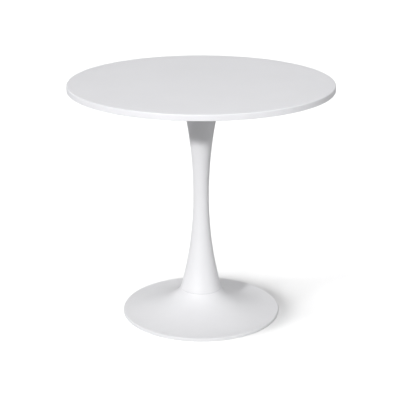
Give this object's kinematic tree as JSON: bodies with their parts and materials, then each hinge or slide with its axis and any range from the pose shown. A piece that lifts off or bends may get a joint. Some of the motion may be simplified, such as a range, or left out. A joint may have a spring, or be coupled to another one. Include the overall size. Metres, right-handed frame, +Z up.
{
  "type": "round pedestal table",
  "caption": "Round white pedestal table: a thin disc top on a slender trumpet column that flares into a round, weighted steel foot.",
  "frame": {"origin": "on the floor, on the table's own axis, at the centre of the foot", "axes": "+Z up along the axis of the column; +X and +Y are any two level directions, and the front view looks along +Y"},
  "size_m": [0.7999, 0.8, 0.735],
  "materials": {
    "board_lacquer": "satin white lacquer on fibreboard",
    "white_powder_coat": "satin white powder coat",
    "zinc_plated_steel": "bright zinc plate",
    "plain_steel": "mill finish",
    "cast_iron": "black dip paint on sand-cast iron",
    "white_plastic": "moulded polyethylene, matt",
    "white_gasket": "soft white rubber"
  },
  "bodies": {
    "root": {"tabletop": "board_lacquer", "threaded_inserts": "zinc_plated_steel", "plate_screws": "zinc_plated_steel", "mounting_plate": "white_powder_coat", "plate_hub": "plain_steel", "jam_nut": "zinc_plated_steel", "column_top_gasket": "white_gasket", "column_head_disc": "plain_steel", "column_shell": "white_powder_coat", "column_foot_ring": "plain_steel", "seam_gasket": "white_gasket", "locating_disc": "plain_steel", "base_shell": "white_powder_coat", "neck_disc": "plain_steel", "spacer_tube": "plain_steel", "ballast_disc": "cast_iron", "clamp_washer": "zinc_plated_steel", "spring_washer": "zinc_plated_steel", "clamp_nut": "zinc_plated_steel", "tie_rod": "zinc_plated_steel", "glide_ring": "white_plastic"}
  },
  "joints": []
}
